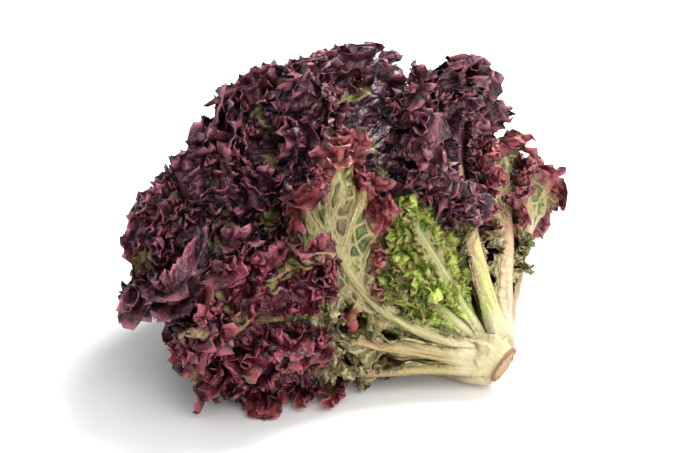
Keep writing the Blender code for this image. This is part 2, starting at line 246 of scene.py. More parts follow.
# Flounces, the rows of ruffled lobes that stand up from the blade's outer side: the blade rows
# that they stand on, the share of the margin where they start, their own rows, and the share of
# the margin over which they grow. They stand only where the leaf is open enough to the outside.
FLOUNCE_FEET = {
    "rose": (0.79, 0.92),
    "crimson": (0.12, 0.26, 0.40, 0.52, 0.71, 0.86),
    "purple": (0.12, 0.26, 0.40, 0.52, 0.71, 0.86),
    "green": (0.26, 0.52, 0.79),
}
FLOUNCE_START = {"rose": 0.50, "crimson": 0.44, "purple": 0.24, "green": 0.14}
FLOUNCE_ROWS = (0.0, 0.45, 0.80, 1.0)
FLOUNCE_STRIDES = (4, 2, 1, 1)
FLOUNCE_GROW = 0.12
OPEN_SHARE = 0.2

# A flounce leans toward the margin, and one on an innermost foot the other way, over the rib.
# How far it leans and how high it stands wander along it over these lengths, and it takes up no
# more than a share of the room outside it. Its finish is that of the blade from a share outward.
LEAN = radians(32.0)
INNER_LEAN = radians(-40.0)
INNER_FOOT = 0.2
LEAN_DRIFT = radians(24.0)
LEAN_LENGTH = 20.0 * MM
HEIGHT_DRIFT = 0.35
HEIGHT_LENGTH = 30.0 * MM
FLOUNCE_ROOM = 0.85
FLOUNCE_INWARD = 0.8


def unit(vectors):
    """The vector, or each vector of a grid, scaled to length one."""
    vectors = np.asarray(vectors, dtype=float)
    return vectors / np.maximum(np.linalg.norm(vectors, axis=-1, keepdims=True), 1e-12)


def head_frame():
    """Axis, the direction across it toward the viewer, and the one to the upper right."""
    axis = unit(AXIS)
    toward_viewer = np.array([0.0, -np.cos(VIEW_TILT), np.sin(VIEW_TILT)])
    near = unit(toward_viewer - np.dot(toward_viewer, axis) * axis)
    side = np.cross(axis, near)
    if side[2] < 0.0:
        side = -side
    return axis, near, side


HEAD_AXIS, NEAR, SIDE = head_frame()


def head_origin():
    """Where the axis meets the outermost leaves' bases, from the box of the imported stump, which
    is a cone whose two ends reach radius * sqrt(1 - axis^2) either side of their middles."""
    low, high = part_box("stump")
    across = np.sqrt(1.0 - HEAD_AXIS**2)
    bottom = -CUT_DEPTH * HEAD_AXIS
    top = CROWN_RISE * HEAD_AXIS
    least = np.minimum(bottom - CUT_RADIUS * across, top - CROWN_RADIUS * across)
    most = np.maximum(bottom + CUT_RADIUS * across, top + CROWN_RADIUS * across)
    return 0.5 * (np.array(low) - least + np.array(high) - most)


HEAD_ORIGIN = head_origin()


def ease(value, low, high):
    """Smooth step from 0 at low to 1 at high."""
    share = np.clip((value - low) / (high - low), 0.0, 1.0)
    return share * share * (3.0 - 2.0 * share)


def wander(x, y, seed):
    """Smooth noise between about -1 and 1: the mean of nine plane waves with seeded turns,
    lengths and phases. x and y are counted in wavelengths."""
    chance = np.random.default_rng(seed)
    turns = chance.uniform(0.0, pi, 9)
    rates = chance.uniform(0.55, 1.55, 9)
    phases = chance.uniform(0.0, 2.0 * pi, 9)
    total = 0.0
    for turn, rate, phase in zip(turns, rates, phases):
        total = total + np.sin(2.0 * pi * rate * (x * np.cos(turn) + y * np.sin(turn)) + phase)
    return total / 3.0


def outward(azimuth):
    """Unit vectors across the axis at these azimuths."""
    return np.cos(azimuth)[..., None] * NEAR + np.sin(azimuth)[..., None] * SIDE


def turn_between(first, second):
    """Smallest angle in radians between two azimuths."""
    return np.abs((first - second + pi) % (2.0 * pi) - pi)


def floor_opening(reach, azimuth):
    """Opening in degrees at which a point of the outermost layer meets the floor."""
    rise_along = HEAD_AXIS[2]
    rise_across = outward(azimuth)[..., 2]
    aside = turn_between(azimuth, radians(PATCH_AZIMUTH))
    lift = ease(np.abs(reach - PATCH_REACH), PATCH_HALF_LENGTH, PATCH_HALF_LENGTH + LIFT_LENGTH)
    lift = lift + ease(np.degrees(aside), PATCH_HALF_ANGLE, PATCH_HALF_ANGLE + LIFT_ANGLE)
    clearance = FLOOR_CLEARANCE + EDGE_LIFT * lift
    base_height = STUMP_HEIGHT - clearance + (NECK_RADIUS + BASE_GAP) * rise_across
    steepness = np.hypot(rise_along, rise_across)
    share = base_height / (np.maximum(reach, 1e-4) * steepness)
    turn = np.arccos(np.clip(-share, -1.0, 1.0)) + np.arctan2(rise_across, rise_along)
    turn = np.where(share >= 1.0, pi, turn)
    return np.degrees(turn)


def folds(reach, azimuth):
    """Degrees added to the opening by the folds that all layers share."""
    grow = ease(reach, FOLD_FROM, FOLD_TO)
    drift = 0.9 * np.sin(3.0 * azimuth + 0.6) + reach / (38.0 * MM)
    fold = np.sin(FOLD_COUNT * azimuth + drift)
    swell = np.sin(SWELL_COUNT * azimuth + 1.0 - reach / (60.0 * MM))
    return grow * (FOLD_ANGLE * fold + SWELL_ANGLE * swell)


def opening(reach, azimuth):
    """Opening in degrees of the outermost layer: free where it can be, flattened by the floor."""
    away = turn_between(azimuth, radians(WIDE_AZIMUTH))
    free = OPENING_AT_BASE + (OPENING - OPENING_AT_BASE) * ease(reach, 0.0, OPENED_BY)
    free = free + WIDE_OPENING * np.exp(-((away / radians(WIDE_SPREAD)) ** 2))
    free = free + RECURVE * ease(reach, RECURVE_FROM, RECURVE_TO) + folds(reach, azimuth)
    limit = floor_opening(reach, azimuth)
    lower = np.minimum(free, limit)
    gap = np.abs(free - limit)
    return lower - FLOOR_BLEND * np.log1p(np.exp(-gap / FLOOR_BLEND))


def stump_radius(rise):
    """Radius of the stump at this distance up the axis."""
    share = np.clip(rise / CROWN_RISE, 0.0, 1.0)
    return NECK_RADIUS + (CROWN_RADIUS - NECK_RADIUS) * share


def leaf_base(leaf):
    """Distance up the axis and radius from which a leaf grows."""
    if leaf in HEART_LEAVES:
        number = HEART_LEAVES.index(leaf) + 1
        return CROWN_RISE + HEART_GAP + number * HEART_STEP, HEART_BASE_RADIUS
    rise = BASE_RISE * (1.0 - leaf.openness)
    return rise, float(stump_radius(rise)) + BASE_GAP


def flat_outline(leaf):
    """Margin of the flat leaf from base to tip: distances along, half widths, arc lengths."""
    length = leaf.length * MM
    half = leaf.half_width * MM
    neck = leaf.neck * MM
    widest = WIDEST_SHARE * length
    along_side = np.linspace(0.0, widest, 160)
    side_width = neck + (half - neck) * ease(along_side, leaf.petiole * length, widest)
    turn = np.linspace(0.0, pi / 2.0, 120)[1:]
    along = np.concatenate([along_side, widest + (length - widest) * np.sin(turn) ** TIP_POWER])
    width = np.concatenate([side_width, half * np.cos(turn) ** TIP_POWER])
    steps = np.hypot(np.diff(along), np.diff(width))
    return along, width, np.concatenate([[0.0], np.cumsum(steps)])


def middle_azimuth(leaf, s):
    """Azimuth of the leaf's midrib at distance s, and the distance from the axis there."""
    radius = leaf_base(leaf)[1]
    share = s / (leaf.length * MM)
    middle = radians(leaf.azimuth) + radians(leaf.bend) * share**2
    turn = leaf.openness * opening(s, middle)
    return middle, np.maximum(radius + s * np.sin(np.radians(turn)), LEAST_REACH)


def layer_point(leaf, s, across):
    """Position of the flat point (s, across) on the leaf's layer, the layer's normal there, which
    points away from the axis, the azimuth, and the outermost layer's opening in radians."""
    rise, radius = leaf_base(leaf)
    middle, reach = middle_azimuth(leaf, s)
    azimuth = middle + across / reach
    share = s / (leaf.length * MM)
    own = leaf.ruffle * ease(share, 0.3, 1.0) * np.sin(across / (7.5 * MM) + 1.7 * leaf.seed)
    widest = opening(s, azimuth)
    turn = np.radians(leaf.openness * widest + own)
    away = outward(azimuth)
    point = (rise + s * np.cos(turn))[..., None] * HEAD_AXIS
    point = point + (radius + s * np.sin(turn))[..., None] * away
    normal = np.cos(turn)[..., None] * away - np.sin(turn)[..., None] * HEAD_AXIS
    return point, normal, azimuth, np.radians(widest)


def column_shares(leaf, count):
    """Shares of the margin's length, 0 at the base and 1 at the tip, of count + 1 columns. The
    narrow stalk gets less than half as many columns for its length as the blade."""
    arc = flat_outline(leaf)[-1]
    even = np.linspace(0.0, 1.0, 400)
    stalk = leaf.petiole * leaf.length * MM / arc[-1]
    weight = 0.45 + 0.55 * ease(even, 0.6 * stalk, 1.2 * stalk + 0.02)
    total = np.concatenate([[0.0], np.cumsum(0.5 * (weight[1:] + weight[:-1]))])
    return np.interp(np.linspace(0.0, total[-1], count + 1), total, even)


def stoutness(leaf):
    """Size of a leaf's rib against that of a large leaf."""
    young = YOUNG_RIB if leaf.tone == "green" else 1.0
    return (leaf.neck / LARGE_NECK) * young * STOUT.get(leaf.name, 1.0)


def rib_half_width(leaf, s, width_at_base):
    """Half width of the midrib, which tapers to a quarter of its base at the leaf's tip and
    widens where it clasps the stem."""
    taper = 1.0 - 0.75 * np.clip(s / (leaf.length * MM), 0.0, 1.0) ** 1.6
    clasp = 1.0 + CLASP * (1.0 - ease(s, 0.0, CLASP_LENGTH))
    return width_at_base * stoutness(leaf) * taper * clasp


def wing(leaf, along, side):
    """Width of the wing beside the stalk: its full width times how far it has grown and how
    little the blade has taken over."""
    blade_from = leaf.petiole * leaf.length * MM
    taken_over = ease(along, blade_from, blade_from + WING_FADE)
    grown = ease(along, WING_FROM, WING_FULL) * (1.0 - taken_over)
    width = BROAD_WING.get(leaf.name, WING_WIDTH[leaf.tone])
    return width * grown * np.where(side < 0.0, 1.0, SLIM_SIDE)


def flat_grid(leaf, count, rib_width):
    """Flat positions s and across of the leaf's grid, and each point's share between rib and
    margin, its distance along the margin with the side's sign, and its share of the margin's
    length. Rows run from the midrib to the margin and columns from the base up the left margin,
    over the tip and down the right one to the base."""
    along, width, arc = flat_outline(leaf)
    one_side = column_shares(leaf, count)
    share = np.concatenate([one_side, one_side[-2::-1]])
    side = np.concatenate([-np.ones(count), [0.0], np.ones(count)])
    margin_along = np.interp(share * arc[-1], arc, along)
    margin_across = np.interp(share * arc[-1], arc, width)
    root = margin_along - ROOT_LAG * (margin_across - leaf.neck * MM)
    root = root * (1.0 - (1.0 - ROOT_SHARE) * ease(share, 0.35, 1.0))
    lobe = np.sin(2.0 * pi * LOBE_COUNT * share + 1.3 * leaf.seed + 2.0 * side)
    margin_across = margin_across * (1.0 + LOBE_DEPTH * ease(share, 0.35, 0.6) * lobe)
    margin_across = margin_across * (1.0 + CLASP * (1.0 - ease(margin_along, 0.0, CLASP_LENGTH)))
    margin_across = margin_across + wing(leaf, margin_along, side)
    rib = rib_half_width(leaf, root, rib_width) / np.maximum(margin_across, 1e-5)
    at_tip = ease(share, 0.85, 0.99)
    rib = np.clip(rib, 0.0, WIDEST_RIB) * (1.0 - at_tip) + TIP_RIB * at_tip
    rib_rows = np.array(RIB_ROWS)[:, None] * rib
    blade_rows = rib + (1.0 - rib) * np.array(BLADE_ROWS)[:, None]
    inward = np.vstack([rib_rows, blade_rows])
    s = root + (margin_along - root) * inward
    across = side * margin_across * inward
    span = np.broadcast_to(share * arc[-1] * side, s.shape)
    return s, across, inward, span, np.broadcast_to(share, s.shape)


def covering(leaf, s, azimuth, widest):
    """Room in metres to the next leaf outside and inside each point, and the share of the point
    that is open to the outside. Past a neighbour's margin the room grows by the free room."""
    outside = np.full(s.shape, FREE_ROOM)
    inside = np.full(s.shape, FREE_ROOM)
    bare = np.ones(s.shape)
    for other in LEAVES + HEART_LEAVES:
        if other is leaf:
            continue
        along, width, arc = flat_outline(other)
        half = np.interp(s, along, width, right=0.0)
        middle, reach = middle_azimuth(other, s)
        aside = turn_between(azimuth, middle) * reach
        cover = ease(half - aside, *MARGIN_BLUR)
        cover = cover * ease(other.length * MM - s, *MARGIN_BLUR)
        gap = abs(other.openness - leaf.openness) * widest * s + (1.0 - cover) * FREE_ROOM
        if other.openness > leaf.openness:
            outside = np.minimum(outside, gap)
            bare = np.minimum(bare, 1.0 - cover)
        else:
            inside = np.minimum(inside, gap)
    return outside, inside, bare


def surface_normals(points, guide):
    """Unit normals of a grid of points, turned to the guide's side, and the unit directions
    along its rows and down its columns."""
    along_row = np.gradient(points, axis=1)
    down = np.gradient(points, axis=0)
    normal = unit(np.cross(along_row, down))
    if np.mean(np.sum(normal * guide, axis=-1)) < 0.0:
        normal = -normal
    return normal, unit(along_row), unit(down)


def into_box(points, low, high, soft):
    """Points held inside a box: past soft from a wall they close in on it without reaching it."""
    room_high = high - points
    pressed = high - soft * np.exp((room_high - soft) / soft)
    points = np.where(room_high < soft, pressed, points)
    room_low = points - low
    pressed = low + soft * np.exp((room_low - soft) / soft)
    return np.where(room_low < soft, pressed, points)


def ruffled(points, guide, rise, sway=None):
    """The surface moved by rise along its normals and by any sway along its rows."""
    normal, along_row, down = surface_normals(points, guide)
    points = points + rise[..., None] * normal
    return points if sway is None else points + sway[..., None] * along_row


def ripple(span, across, length, seed, drift):
    """Phase of a wave of this length along the margin, whose crests wander by drift radians,
    and its uneven strength."""
    phase = 2.0 * pi * span / length + drift * wander(span / (3.0 * length), across, seed)
    return phase, 1.0 + 0.4 * wander(span / (1.6 * length), across, seed + 1)


def frills(points, guide, span, across, growth, late_growth, scale, sizes, seed):
    """Frills and crinkles on a surface. A frill moves a point along the normal by
    depth * sin(phase) and along the margin by a share of the wavelength times sin(2 * phase),
    which closes each loop at its neck. Crinkles do the same in small."""
    length = sizes.frill_length * scale
    phase, uneven = ripple(span, across, length, seed, 2.0)
    rise = growth * uneven * sizes.frill_depth * scale * np.sin(phase)
    sway = growth * 0.17 * length * np.sin(2.0 * phase)
    points = ruffled(points, guide, rise, sway)
    length = sizes.crinkle_length * np.sqrt(scale)
    small_phase, uneven = ripple(span, 2.0 * across, length, seed + 2, 2.0)
    rise = late_growth * uneven * sizes.crinkle_depth * np.sin(small_phase)
    return ruffled(points, guide, rise), growth * np.sin(phase)


def toothed(points, guide, span, across, amount, sizes, seed):
    """The margin's pointed, uneven teeth: outward in the surface by 1 - 2 * |sin(phase)|."""
    normal, along_row, down = surface_normals(points, guide)
    drift = 1.5 * wander(span / (6.0 * MM), across, seed)
    tooth = 1.0 - 2.0 * np.abs(np.sin(pi * span / sizes.tooth_length + drift))
    lobe = 1.0 - 2.0 * np.abs(np.sin(pi * span / (2.8 * sizes.tooth_length) + 2.0 * drift))
    uneven = 1.0 + 0.5 * wander(span / (7.0 * MM), across, seed + 1)
    reach = amount * sizes.tooth_depth * (0.75 * tooth + 1.1 * lobe) * uneven
    return points + reach[..., None] * down


def into_head_box(points, sizes):
    """World positions of points round the head's origin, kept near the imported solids' box."""
    low = np.array(cad_low)
    high = np.array(cad_high)
    spare = sizes.proud * (high - low)
    low, high = low - spare, high + spare
    low[2] = LEAST_HEIGHT
    return into_box(points + HEAD_ORIGIN, low, high, WALL_BLUR)


def skins(points, guide, thick, outer_swell, inner_swell):
    """The two skins of a blade on either side of its middle surface, clear of the floor."""
    normal, along_row, down = surface_normals(points, guide)
    outer = points + (0.5 * thick + outer_swell)[..., None] * normal
    inner = points - (0.5 * thick + inner_swell)[..., None] * normal
    outer[..., 2] = np.maximum(outer[..., 2], OUTER_HEIGHT)
    inner[..., 2] = np.maximum(inner[..., 2], INNER_HEIGHT)
    return outer, inner


def leaf_scale(leaf):
    """Size of a leaf's frills against those of a large leaf."""
    return min(max(leaf.length / LARGE_LENGTH, LEAST_SCALE), 1.0)


def finish_values(leaf, share, inward, across, s, rib, bare, height):
    """What a leaf's finish reads at each point, as three vectors: its shares along the margin
    and between rib and margin with the leaf's own number, its flat place with the rib's mask,
    and how open to the outside and how high on its fold or frill it is."""
    own = LEAF_STEP * leaf.seed
    grids = np.broadcast_arrays(share, inward, own, across, s, rib, bare, height, 0.0)
    starts = {"place": 0, "flat": 3, "state": 6}
    return {name: np.stack(grids[first : first + 3], axis=-1) for name, first in starts.items()}


def folded_blade(leaf, count, sizes):
    """The leaf's blade with its broad folds, by name, which the frills and the flounces grow on.
    From the layer a point moves along the layer's normal by centre + half * sin(phase), where
    half and centre come from the room to the leaves outside and inside it."""
    s, across, inward, span, share = flat_grid(leaf, count, sizes.rib_width)
    points, guide, azimuth, widest = layer_point(leaf, s, across)
    outside, inside, bare = covering(leaf, s, azimuth, widest)
    scale = leaf_scale(leaf)
    phase, uneven = ripple(span, 0.8 * inward, sizes.fold_length * scale, 100 * leaf.seed, 1.1)
    grow = ease(inward, FOLDS_BEGIN[leaf.tone], 1.0) * ease(share, *FOLDS_GROW)
    depth = sizes.fold_depth * scale * uneven
    out = np.minimum(depth, FOLD_ROOM * outside)
    back = np.minimum(depth, FOLD_ROOM * inside)
    rise = grow * (0.5 * (out - back) + 0.5 * (out + back) * np.sin(phase))
    points = points + rise[..., None] * guide
    return {
        "points": points,
        "guide": guide,
        "frame": surface_normals(points, guide),
        "height": grow * np.sin(phase),
        "span": span,
        "share": share,
        "inward": inward,
        "s": s,
        "across": across,
        "outside": outside,
        "room": np.clip((outside + inside) / FRILL_ROOM, 0.3, 1.0),
        "bare": bare,
    }


def blade(leaf, folded, sizes):
    """The two skins of the leaf's blade and the values that its finish reads: frills, crinkles,
    teeth and blisters on the folded blade, and a rib of half-round section along its middle."""
    names = ("guide", "span", "share", "inward", "s", "across")
    guide, span, share, inward, s, across = [folded[name] for name in names]
    seed = 100 * leaf.seed
    early = ease(inward, FRILLS_BEGIN[leaf.tone], 1.02) * ease(share, *FRILLS_GROW) * folded["room"]
    late = ease(inward, CRINKLES_BEGIN[leaf.tone], 1.0) * ease(share, *CRINKLES_GROW)
    scale = leaf_scale(leaf)
    points, ripples = frills(
        folded["points"], guide, span, inward, early, late, scale, sizes, seed + 3
    )
    edge = ease(inward, 0.86, 1.0) * ease(share, *TEETH_GROW)
    points = toothed(points, guide, span, 0.2 * inward, edge, sizes, seed + 7)
    blister = wander(span / BLISTER_LENGTH, across / BLISTER_LENGTH, seed + 8)
    blister = blister * sizes.blister_depth * ease(inward, 0.1, 0.3) * ease(share, *BLISTERS_GROW)
    points = into_head_box(ruffled(points, guide, blister), sizes)

    rib_half = rib_half_width(leaf, s, sizes.rib_width)
    ridge = np.sqrt(np.clip(1.0 - (across / np.maximum(rib_half, 1e-6)) ** 2, 0.0, 1.0))
    fade = 1.0 - ease(s / (leaf.length * MM), 0.20, 0.95)
    swell = sizes.rib_height * stoutness(leaf) * ridge * fade
    thick = sizes.blade_thickness * (1.0 - 0.7 * ease(inward, 0.8, 1.0))
    outer, inner = skins(points, guide, thick, 0.72 * swell, 0.28 * swell)
    rib = 1.0 - ease(np.abs(across) / rib_half, 0.75, 1.35)
    height = 0.5 + 0.25 * np.clip(folded["height"] + ripples, -2.0, 2.0)
    values = finish_values(leaf, share, inward, across, s, rib, folded["bare"], height)
    return outer, inner, values


def shown_part(leaf, folded, row, count):
    """The columns of a row of the blade that carry a flounce, or nothing if it is covered all
    along. They start and end on a column that the flounce's widest stride uses."""
    shown = folded["share"][row] > FLOUNCE_START[leaf.tone]
    shown = shown & (folded["bare"][row] > OPEN_SHARE)
    if not shown.any():
        return None
    stride = FLOUNCE_STRIDES[0]
    first = stride * (int(np.argmax(shown)) // stride)
    last = 2 * count - stride * (int(np.argmax(shown[::-1])) // stride)
    return slice(first, last + 1)


def flounce(leaf, folded, foot, count, sizes):
    """A row of ruffled lobes on the folded blade, from its foot on a row of the blade to its
    free edge: foot + w * height * (cos(lean) * normal + sin(lean) * toward the margin)."""
    row = len(RIB_ROWS) + BLADE_ROWS.index(foot)
    part = shown_part(leaf, folded, row, count)
    if part is None:
        return None
    seed = 100 * leaf.seed + int(1000 * foot)
    scale = leaf_scale(leaf)
    start = FLOUNCE_START[leaf.tone]
    w = np.array(FLOUNCE_ROWS)[:, None]
    normal, along_row, down = [item[row, part] for item in folded["frame"]]
    names = ("points", "span", "share", "s", "across", "outside", "bare")
    points, span, share, s, across, outside, bare = [folded[name][row, part] for name in names]

    level = np.zeros_like(span)
    full = sizes.flounce_height * scale
    height = full * (1.0 + HEIGHT_DRIFT * wander(span / HEIGHT_LENGTH, level, seed))
    height = np.minimum(height, FLOUNCE_ROOM * outside) * ease(share, start, start + FLOUNCE_GROW)
    lean = INNER_LEAN if foot < INNER_FOOT else LEAN
    lean = (lean + LEAN_DRIFT * wander(span / LEAN_LENGTH, level, seed + 1))[:, None]
    stand = np.cos(lean) * normal + np.sin(lean) * down
    points = points + (w * height)[..., None] * stand
    guide = np.broadcast_to(normal * np.sin(lean) - down * np.cos(lean), points.shape)
    span = np.broadcast_to(span, points.shape[:2])
    tall = np.clip(height / full, 0.0, 1.0)
    late = tall * ease(w, 0.4, 1.0)
    points, ripples = frills(points, guide, span, w, tall * w, late, scale, sizes, seed + 2)
    points = toothed(points, guide, span, 0.2 * w, tall * ease(w, 0.6, 1.0), sizes, seed + 6)
    points = into_head_box(points, sizes)
    thick = np.broadcast_to(sizes.blade_thickness * (0.9 - 0.6 * w), points.shape[:2])
    outer, inner = skins(points, guide, thick, np.zeros_like(thick), np.zeros_like(thick))
    inner_edge = max(foot, FLOUNCE_INWARD)
    inward = inner_edge + (1.0 - inner_edge) * w
    values = finish_values(leaf, share, inward, across, s, 0.0, bare, 0.5 + 0.4 * ripples)
    return outer, inner, values


def strip_faces(upper, lower):
    """Triangles between two rows of vertex numbers, where the lower row has as many columns as
    the upper one or twice as many. Each upper step then gets two triangles or three."""
    a, b = upper[:-1], upper[1:]
    if len(upper) == len(lower):
        c, d = lower[:-1], lower[1:]
        return np.concatenate([np.stack([a, c, b], 1), np.stack([b, c, d], 1)])
    c, d, e = lower[:-2:2], lower[1::2], lower[2::2]
    return np.concatenate([np.stack([a, c, d], 1), np.stack([a, d, b], 1), np.stack([b, d, e], 1)])


def skin_faces(rows, columns, strides, folded_midrib):
    """Triangles of one skin over a grid, where each row uses every stride-th column, and the
    loop of vertices round it. With a folded midrib, both halves of the first row share its
    vertices, so that the loop leaves it out."""
    numbers = np.arange(rows * columns).reshape(rows, columns)
    middle = (columns - 1) // 2
    if folded_midrib:
        numbers[0, middle + 1 :] = numbers[0, :middle][::-1]
    used = [numbers[row][:: strides[row]] for row in range(rows)]
    faces = np.concatenate([strip_faces(used[row], used[row + 1]) for row in range(rows - 1)])
    edge = [row[0] for row in used]
    far_edge = [row[-1] for row in used[1:-1]][::-1]
    last = [edge[0]] if folded_midrib else used[0][::-1]
    return three_cornered(faces), np.concatenate([edge, used[-1][1:], far_edge, last])


def three_cornered(faces):
    """The triangles whose corners are three different vertices."""
    a, b, c = faces.T
    return faces[(a != b) & (b != c) & (a != c)]


def outward_mesh(points, triangles, values):
    """The closed mesh with its triangles facing outward and without unused vertices."""
    a, b, c = [points[corner] for corner in triangles.T]
    if np.sum(a * np.cross(b, c)) <= 0.0:
        triangles = triangles[:, ::-1]
    kept, index = np.unique(triangles, return_inverse=True)
    values = {name: grid[kept] for name, grid in values.items()}
    return points[kept], index.reshape(triangles.shape), values


def closed_sheet(outer, inner, values, strides, folded_midrib):
    """Vertices, triangles and values of a closed thin sheet: two skins joined round the edge."""
    rows, columns = outer.shape[:2]
    faces, loop = skin_faces(rows, columns, strides, folded_midrib)
    count = rows * columns
    rim = strip_faces(loop, loop + count)
    points = np.concatenate([outer.reshape(-1, 3), inner.reshape(-1, 3)])
    triangles = np.concatenate([faces, faces[:, ::-1] + count, rim])
    values = {name: np.tile(grid.reshape(-1, 3), (2, 1)) for name, grid in values.items()}
    return outward_mesh(points, triangles, values)


def add_piece(name, points, triangles, material):
    """Smooth mesh object in world coordinates, riding on the head's only body."""
    mesh = bpy.data.meshes.new(name)
    mesh.vertices.add(len(points))
    mesh.vertices.foreach_set("co", np.ascontiguousarray(points, dtype=np.float32).ravel())
    mesh.loops.add(triangles.size)
    mesh.loops.foreach_set("vertex_index", np.ascontiguousarray(triangles, dtype=np.int32).ravel())
    mesh.polygons.add(len(triangles))
    starts = np.arange(0, triangles.size, 3, dtype=np.int32)
    mesh.polygons.foreach_set("loop_start", starts)
    mesh.update(calc_edges=True)
    mesh.validate()
    mesh.shade_smooth()
    mesh.materials.append(material)
    piece = bpy.data.objects.new(name, mesh)
    bpy.context.scene.collection.objects.link(piece)
    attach(piece, "root")
    return piece


def add_values(piece, name, values):
    """Named vector attribute of the piece's points for its finish."""
    layer = piece.data.attributes.new(name, "FLOAT_VECTOR", "POINT")
    layer.data.foreach_set("vector", np.ascontiguousarray(values, dtype=np.float32).ravel())


def leaf_sheets(leaf, count, sizes):
    """The closed sheets of one leaf: its blade and its flounces."""
    folded = folded_blade(leaf, count, sizes)
    outer, inner, values = blade(leaf, folded, sizes)
    strides = (RIB_STRIDE,) * len(RIB_ROWS) + BLADE_STRIDES
    sheets = [closed_sheet(outer, inner, values, strides, True)]
    for foot in FLOUNCE_FEET[leaf.tone]:
        row = flounce(leaf, folded, foot, count, sizes)
        if row is not None:
            sheets.append(closed_sheet(*row, FLOUNCE_STRIDES, False))
    return sheets


def add_sheets(name, sheets, material):
    """One piece from several closed sheets, with the values that its finish reads."""
    starts = np.cumsum([0] + [len(points) for points, triangles, values in sheets])
    points = np.concatenate([sheet[0] for sheet in sheets])
    triangles = np.concatenate([sheet[1] + start for sheet, start in zip(sheets, starts)])
    piece = add_piece(name, points, triangles, material)
    for key in sheets[0][2]:
        add_values(piece, key, np.concatenate([sheet[2][key] for sheet in sheets]))
    return piece


# The stem's profile: places along the axis and radii in millimetres, from the middle of the cut
# face over its rim and the waist to the collar and the crown.
STEM_PROFILE = (
    (-4.3, 0.0),
    (-4.4, 4.0),
    (-4.9, 7.6),
    (-5.2, 9.2),
    (-4.9, 10.1),
    (-3.4, 10.3),
    (-1.8, 9.7),
    (0.0, 10.8),
    (2.5, 13.4),
    (5.0, 14.4),
    (8.0, 13.0),
    (14.0, 9.0),
    (24.0, 5.0),
    (29.5, 2.0),
    (30.0, 0.0),
)
STEM_ROWS = 60
STEM_COLUMNS = 96
COLLAR_RIDGES = 11

# Width of the cut face's rings and the radii between which its rim darkens.
RING_WIDTH = 2.2 * MM
RIM_FROM = 6.8 * MM
RIM_TO = 8.8 * MM


def stem_surface():
    """Closed surface round the axis: the profile turned, its collar ridged by
    radius * (1 + 0.08 * sin(ridges * azimuth)), and its cut face and waist a little uneven."""
    profile = np.array(STEM_PROFILE) * MM
    steps = np.linspace(0.0, len(profile) - 1.0, STEM_ROWS)
    along = np.interp(steps, np.arange(len(profile)), profile[:, 0])[:, None]
    radius = np.interp(steps, np.arange(len(profile)), profile[:, 1])[:, None]
    azimuth = 2.0 * pi * np.arange(STEM_COLUMNS) / STEM_COLUMNS
    around = np.stack([np.cos(azimuth), np.sin(azimuth)])
    collar = ease(along, -1.0 * MM, 4.0 * MM)
    uneven = wander(2.0 * around[0] + 120.0 * along, 2.0 * around[1], 41)
    ridge = 0.08 * collar * np.sin(COLLAR_RIDGES * azimuth + 0.7 * uneven) + 0.02 * uneven
    face = 1.0 - ease(along, -4.8 * MM, -4.0 * MM)
    along = along + 0.35 * MM * uneven * face * ease(radius, 0.0, 3.0 * MM)
    radius = radius * (1.0 + ridge)
    points = HEAD_ORIGIN + along[..., None] * HEAD_AXIS + radius[..., None] * outward(azimuth)
    rows, columns = radius.shape
    numbers = np.arange(rows * columns).reshape(rows, columns)
    numbers[0] = numbers[0, 0]
    numbers[-1] = numbers[-1, 0]
    numbers = np.concatenate([numbers, numbers[:, :1]], axis=1)
    faces = np.concatenate([strip_faces(numbers[row], numbers[row + 1]) for row in range(rows - 1)])
    place = np.stack(np.broadcast_arrays(along, radius, azimuth), axis=-1)
    values = {"place": place.reshape(-1, 3)}
    return outward_mesh(points.reshape(-1, 3), three_cornered(faces), values)


class Number:
    """An output socket that holds a number. Arithmetic on it adds Math nodes."""

    def __init__(self, finish, socket):
        self.finish = finish
        self.socket = socket

    def math(self, operation, *values):
        node = self.finish.node("ShaderNodeMath", {"operation": operation}, dict(enumerate(values)))
        return Number(self.finish, node.outputs[0])

    def __add__(self, other):
        return self.math("ADD", self, other)

    def __radd__(self, other):
        return self.math("ADD", other, self)

    def __sub__(self, other):
        return self.math("SUBTRACT", self, other)

    def __rsub__(self, other):
        return self.math("SUBTRACT", other, self)

    def __mul__(self, other):
        return self.math("MULTIPLY", self, other)

    def __rmul__(self, other):
        return self.math("MULTIPLY", other, self)

    def sine(self):
        return self.math("SINE", self)


